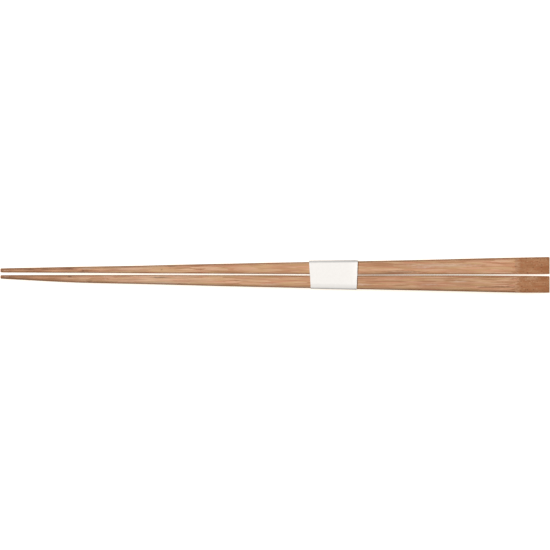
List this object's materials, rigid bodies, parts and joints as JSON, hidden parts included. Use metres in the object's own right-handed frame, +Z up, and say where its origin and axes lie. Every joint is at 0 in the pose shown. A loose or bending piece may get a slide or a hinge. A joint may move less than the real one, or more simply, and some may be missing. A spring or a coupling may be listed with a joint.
{
  "type": "bamboo chopsticks",
  "caption": "Slim tapered bamboo chopsticks with slant-cut square heads and round shaved tips, held side by side by a plain white paper band, for picking up food.",
  "frame": {"origin": "on the table under the middle of the pair, level with the underside of the paper band's lap", "axes": "+X along the sticks from the tips to the heads, +Y across the pair towards the back stick, +Z up, out of the slant-cut faces"},
  "size_m": [0.24, 0.0158, 0.0051],
  "materials": {
    "bamboo": "matte",
    "paper": "matte"
  },
  "bodies": {
    "root": {"back_stick": "bamboo", "front_stick": "bamboo", "paper_band": "paper"}
  },
  "joints": []
}
